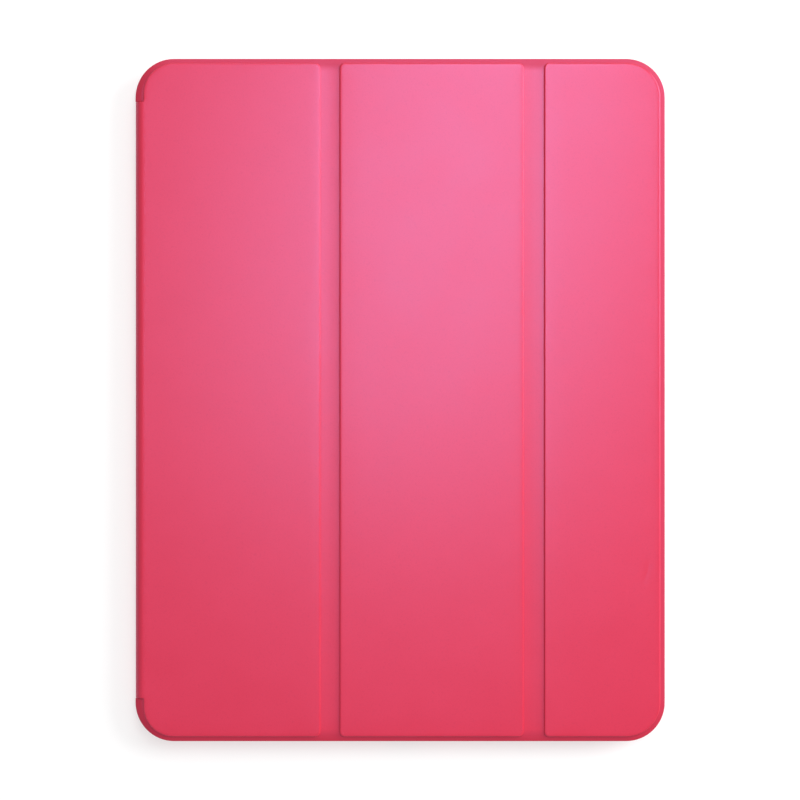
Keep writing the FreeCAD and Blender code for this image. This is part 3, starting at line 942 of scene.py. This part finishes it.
def make_back():
    """Back skin in one sheet with the bottom roll and the lower half of the spine."""
    roll_end = BOTTOM_ROLL_X - BOTTOM_ROLL * math.pi / 2
    last = roll_end - (SPINE_MIDDLE - SPINE_Z0)
    bends = steps(BOTTOM_ROLL_X, roll_end, ROLL_STEP)
    edge, corner = thin_edge(SKIN, RIM_ROUND), BACK_CORNER
    outline = Outline()
    outline.turn(BACK_RIGHT - corner, BACK_TOP - corner, corner, 0, 90, edge)
    outline.side(BACK_LEFT + corner, BACK_TOP, (0, 1), edge)
    outline.turn(BACK_LEFT + corner, BACK_TOP - corner, corner, 90, 180, edge)
    outline.corner(BACK_LEFT, SPINE_TOP, (-1, 1), edge)
    outline.side(last, SPINE_TOP, (0, 1), edge, bends)
    outline.corner(last, SPINE_TOP, (0, 1), edge)
    outline.mirror(edge, edge, right_outward=(1, 0))
    sheet = Sheet(back_place, outline, holes=[camera_window()], bends=bends)
    sheet.finish("back_skin_and_wrap", LEATHER, "cover_skin",
                 ["back_skin", "spine_edge_bottom_skin", "spine_skin"], bend=BOTTOM_ROLL_BEND)


def eased(value, start, end):
    """0 before start, 1 after end, and smooth between."""
    share = min(1.0, max(0.0, (value - start) / (end - start)))
    return share * share * (3 - 2 * share)


# Over a roll, the lining swells out to the skin and back between these angles from each end.
SWELL_START = 0.1
TOP_SWELL_END = 0.5
BOTTOM_SWELL_END = 0.6


def top_roll_lining_place(u, y, depth):
    """Lining over the top roll: from the spine's lining, against the skin, to panel 1's lining."""
    angle = u
    low, high = TOP_ROLL_X - LINING_OUTER_X, TOP_ROLL - SKIN
    swell = eased(angle, SWELL_START, TOP_SWELL_END)
    swell *= 1 - eased(angle, math.pi / 2 - TOP_SWELL_END, math.pi / 2 - SWELL_START)
    radius = low + (high - low) * swell - LINING + depth
    return TOP_ROLL_X - radius * math.cos(angle), y, SPINE_Z1 + radius * math.sin(angle)


def bottom_roll_lining_place(u, y, depth):
    """Lining over the bottom roll, from the spine's lining down onto the back skin."""
    angle = u
    low, high = BOTTOM_ROLL_X - LINING_OUTER_X, BOTTOM_ROLL - SKIN
    swell = eased(angle, SWELL_START, BOTTOM_SWELL_END)
    radius = low + (high - low) * swell - LINING + depth
    return BOTTOM_ROLL_X - radius * math.cos(angle), y, BOTTOM_ROLL - radius * math.sin(angle)


def spine_lining_place(u, y, depth):
    """Lining on the inner face of the spine's board."""
    return LINING_INNER_X - depth, y, u


LINING_EDGE = thin_edge(LINING, LINING_ROUND, LINING_LEVELS)
LINING_BEND_START = (TOP_ROLL_X - 2.5, 0, SPINE_Z1 + 0.5)
LINING_BEND_END = (TOP_ROLL_X - 0.4, 0, SPINE_Z1 + 1.9)
LINING_ROW_STEP = 1.0
LINING_TURN = 0.08


def make_spine_linings():
    """Lining of the spine and of both rolls."""
    pieces = []
    for name, place, u0, u1, step, replaced, ride in (
            ("spine_lining_sheet", spine_lining_place, SPINE_Z0, SPINE_Z1, LINING_ROW_STEP,
             "spine_lining", {"body": "spine"}),
            ("spine_top_roll_lining", top_roll_lining_place, 0.0, math.pi / 2, LINING_TURN,
             "spine_edge_top_lining",
             {"bend": ("spine", "panel_1", LINING_BEND_START, LINING_BEND_END)}),
            ("spine_bottom_roll_lining", bottom_roll_lining_place, 0.0, math.pi / 2, LINING_TURN,
             "spine_edge_bottom_lining", {"bend": BOTTOM_ROLL_BEND})):
        rows = steps(u0, u1, step)[1:-1]
        outline = plate(u0, u1, SPINE_TOP, None, None, LINING_EDGE, rows)
        pieces.append(Sheet(place, outline, bends=rows).finish(
            name, MICROFIBRE, "cover_lining", [replaced], **ride))
    return pieces


make_cover_layer("skin", base_place, flange_edge(FLANGE + RING_MARGIN),
                 flange_edge(RIM_ROUND + SLOT_RING_MARGIN), LEATHER, "cover_skin", FLOOR_Z, True)
lining_1, lining_2, groove_lining, lining_3 = make_cover_layer(
    "lining", lining_place, LINING_EDGE, LINING_EDGE, MICROFIBRE, "cover_lining", LINING_Z0, False)
make_back()
spine_linings = make_spine_linings()


# ---------------------------------------------------------------- tray, boards and magnets

TRAY_BASE = 1.2
POCKET_FLOOR_Z = BACK_Z1 + TRAY_BASE
POCKET_MARGIN = 8.0
DOT_PITCH = 8.0
DOT_RADIUS = 1.0
DOT_HEIGHT = 0.08
DOT_SMALLEST = 0.94
DOT_SEED = 7


def dot_field_group():
    """Low round dots in staggered rows over a rectangle, with one square left clear."""
    tree = bpy.data.node_groups.new("dot_field", "GeometryNodeTree")
    sockets = tree.interface
    for label, kind, default in (
            ("Width", "NodeSocketFloat", 0.2), ("Length", "NodeSocketFloat", 0.26),
            ("Columns", "NodeSocketInt", 20), ("Rows", "NodeSocketInt", 30),
            ("Dot radius", "NodeSocketFloat", 0.001), ("Dot height", "NodeSocketFloat", 0.00008),
            ("Clear x", "NodeSocketFloat", 0.0), ("Clear y", "NodeSocketFloat", 0.0),
            ("Clear half", "NodeSocketFloat", 0.02), ("Seed", "NodeSocketInt", DOT_SEED)):
        sockets.new_socket(name=label, in_out="INPUT", socket_type=kind).default_value = default
    sockets.new_socket(name="Finish", in_out="INPUT", socket_type="NodeSocketMaterial")
    sockets.new_socket(name="Geometry", in_out="OUTPUT", socket_type="NodeSocketGeometry")
    given, end = tree.nodes.new("NodeGroupInput").outputs, tree.nodes.new("NodeGroupOutput")
    grid = add_node(tree, "GeometryNodeMeshGrid", Size_X=given["Width"], Size_Y=given["Length"],
                    Vertices_X=given["Columns"], Vertices_Y=given["Rows"])
    # Every other column is moved along by half the distance between rows.
    index = tree.nodes.new("GeometryNodeInputIndex").outputs[0]
    column = math_node(tree, "DIVIDE", index, given["Rows"])
    odd = math_node(tree, "MODULO", math_node(tree, "FLOOR", column), 2.0)
    gaps = math_node(tree, "SUBTRACT", given["Rows"], 1.0)
    half_row = math_node(tree, "DIVIDE", given["Length"], math_node(tree, "MULTIPLY", gaps, 2.0))
    shift = add_node(tree, "ShaderNodeCombineXYZ", Y=math_node(tree, "MULTIPLY", odd, half_row))
    moved = add_node(tree, "GeometryNodeSetPosition", Geometry=grid.outputs["Mesh"],
                     Offset=shift.outputs[0])
    # Dots over the camera opening are left out.
    position = tree.nodes.new("GeometryNodeInputPosition").outputs[0]
    place = add_node(tree, "ShaderNodeSeparateXYZ", Vector=position)
    near = []
    for axis, label in (("X", "Clear x"), ("Y", "Clear y")):
        apart = math_node(tree, "SUBTRACT", place.outputs[axis], given[label])
        apart = math_node(tree, "ABSOLUTE", apart)
        near.append(math_node(tree, "LESS_THAN", apart, given["Clear half"]))
    cleared = add_node(tree, "GeometryNodeDeleteGeometry", Geometry=moved.outputs[0],
                       Selection=math_node(tree, "MULTIPLY", *near))
    # Each dot is a flattened ball, and its size varies a little.
    ball = add_node(tree, "GeometryNodeMeshIcoSphere", Radius=1.0, Subdivisions=2)
    size = add_node(tree, "ShaderNodeCombineXYZ", X=given["Dot radius"], Y=given["Dot radius"],
                    Z=given["Dot height"])
    spread = add_node(tree, "FunctionNodeRandomValue", Seed=given["Seed"])
    spread.data_type = "FLOAT"
    spread.inputs[2].default_value = DOT_SMALLEST
    spread.inputs[3].default_value = 1.0
    scaled = tree.nodes.new("ShaderNodeVectorMath")
    scaled.operation = "SCALE"
    feed(tree, scaled, Vector=size.outputs[0], Scale=spread.outputs[1])
    dots = add_node(tree, "GeometryNodeInstanceOnPoints", Points=cleared.outputs[0],
                    Instance=ball.outputs["Mesh"], Scale=scaled.outputs[0])
    real = add_node(tree, "GeometryNodeRealizeInstances", Geometry=dots.outputs[0])
    finish = add_node(tree, "GeometryNodeSetMaterial", Geometry=real.outputs[0],
                      Material=given["Finish"])
    feed(tree, end, Geometry=finish.outputs[0])
    return tree


def make_pocket_dots():
    """The dots on the tray's floor that keep the tablet's back off it."""
    left, right = (cad("tray_shell", side, "x") for side in (0, 1))
    bottom, top = (cad("tray_shell", side, "y") for side in (0, 1))
    width, length = right - left - 2 * POCKET_MARGIN, top - bottom - 2 * POCKET_MARGIN - DOT_PITCH
    middle_x, middle_y = (left + right) / 2, (bottom + top - DOT_PITCH) / 2
    base = bpy.data.objects.new("pocket_dots", bpy.data.meshes.new("pocket_dots"))
    bpy.context.scene.collection.objects.link(base)
    field = base.modifiers.new("dot_field", "NODES")
    field.node_group = dot_field_group()
    values = {"Width": width * MM, "Length": length * MM, "Columns": round(width / DOT_PITCH) + 1,
              "Rows": round(length / DOT_PITCH) + 1, "Dot radius": DOT_RADIUS * MM,
              "Dot height": DOT_HEIGHT * MM, "Clear x": (CAMERA_CENTRE[0] - middle_x) * MM,
              "Clear y": (CAMERA_CENTRE[1] - middle_y) * MM,
              "Clear half": (CAMERA_HALF + CAMERA_RING + 2 * DOT_RADIUS) * MM, "Seed": DOT_SEED,
              "Finish": PLASTIC}
    for item in field.node_group.interface.items_tree:
        if item.in_out == "INPUT":
            field[item.identifier] = values[item.name]
    bpy.context.view_layer.update()
    made = base.evaluated_get(bpy.context.evaluated_depsgraph_get())
    mesh = bpy.data.meshes.new_from_object(made)
    base.modifiers.remove(field)
    for vert in mesh.vertices:
        vert.co += Vector((middle_x, middle_y, POCKET_FLOOR_Z)) * MM
    mesh.shade_smooth()
    mesh.name = "pocket_dots_mesh"
    base.data = mesh
    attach(base, "back_shell")


def finish_cad_nodes():
    """Finishes of the CAD nodes that keep their own shape."""
    for name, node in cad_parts.items():
        if node.hide_render:
            continue
        material = PLASTIC
        if "board" in name:
            material = BOARD
        if "magnet" in name:
            material = MAGNET
        node.data.materials.clear()
        node.data.materials.append(material)


make_pocket_dots()
finish_cad_nodes()


# ---------------------------------------------------------------- room

# Here lengths are metres. Each light has a place, a width, a length and a brightness.
FLOOR_SIZE = 6.0
FLOOR_DROP = 0.0002
SURROUNDINGS = 0.42
CAMERA_HEIGHT = 1.0
CAMERA_LENS = 106.3
LIGHTS = {"softbox_overhead": ((0.08, 0.31, 1.15), 0.25, 0.8, 6.6),
          "side_light_right": ((1.1, 0.4, 0.6), 0.8, 0.8, 8.0),
          "side_light_top": ((0.25, 1.4, 1.1), 1.0, 1.0, 2.0)}


def make_floor():
    """A plain white surface just under the case. It is slightly see-through, like frosted acrylic,
    so that a cover folded behind the case still shows from above."""
    bpy.ops.mesh.primitive_plane_add(size=FLOOR_SIZE, location=(0, 0, -FLOOR_DROP))
    floor = bpy.context.object
    floor.name = "floor"
    material, tree, shader, _ = new_material("pale_floor")
    feed(tree, shader, Base_Color=(0.92, 0.92, 0.92, 1), Roughness=0.8, Specular_IOR_Level=0.0,
         Alpha=0.6, Emission_Color=(1, 1, 1, 1), Emission_Strength=0.6)
    floor.data.materials.append(material)


def add_softbox(name, location, width, length, radiance):
    """A soft rectangular light that faces the case. radiance is its brightness as it is seen."""
    light = bpy.data.lights.new(name, "AREA")
    light.shape = "RECTANGLE"
    light.size = width
    light.size_y = length
    light.energy = radiance * math.pi * width * length
    lamp = bpy.data.objects.new(name, light)
    lamp.location = location
    lamp.rotation_euler = (-Vector(location)).to_track_quat("-Z", "Y").to_euler()
    bpy.context.scene.collection.objects.link(lamp)


def make_room():
    """Even pale surroundings, a long softbox overhead, two side lights, and the camera."""
    world = bpy.data.worlds.new("studio")
    world.use_nodes = True
    tree = world.node_tree
    feed(tree, tree.nodes["Background"], Color=(1, 1, 1, 1), Strength=SURROUNDINGS)
    bpy.context.scene.world = world
    for name, (location, width, length, radiance) in LIGHTS.items():
        add_softbox(name, location, width, length, radiance)
    lens = bpy.data.cameras.new("overhead")
    lens.lens = CAMERA_LENS
    lens.dof.use_dof = False
    camera = bpy.data.objects.new("overhead", lens)
    camera.location = (0, 0, CAMERA_HEIGHT)
    bpy.context.scene.collection.objects.link(camera)
    bpy.context.scene.camera = camera
    bpy.context.scene.view_settings.view_transform = "Standard"


make_floor()
make_room()

bpy.context.view_layer.update()
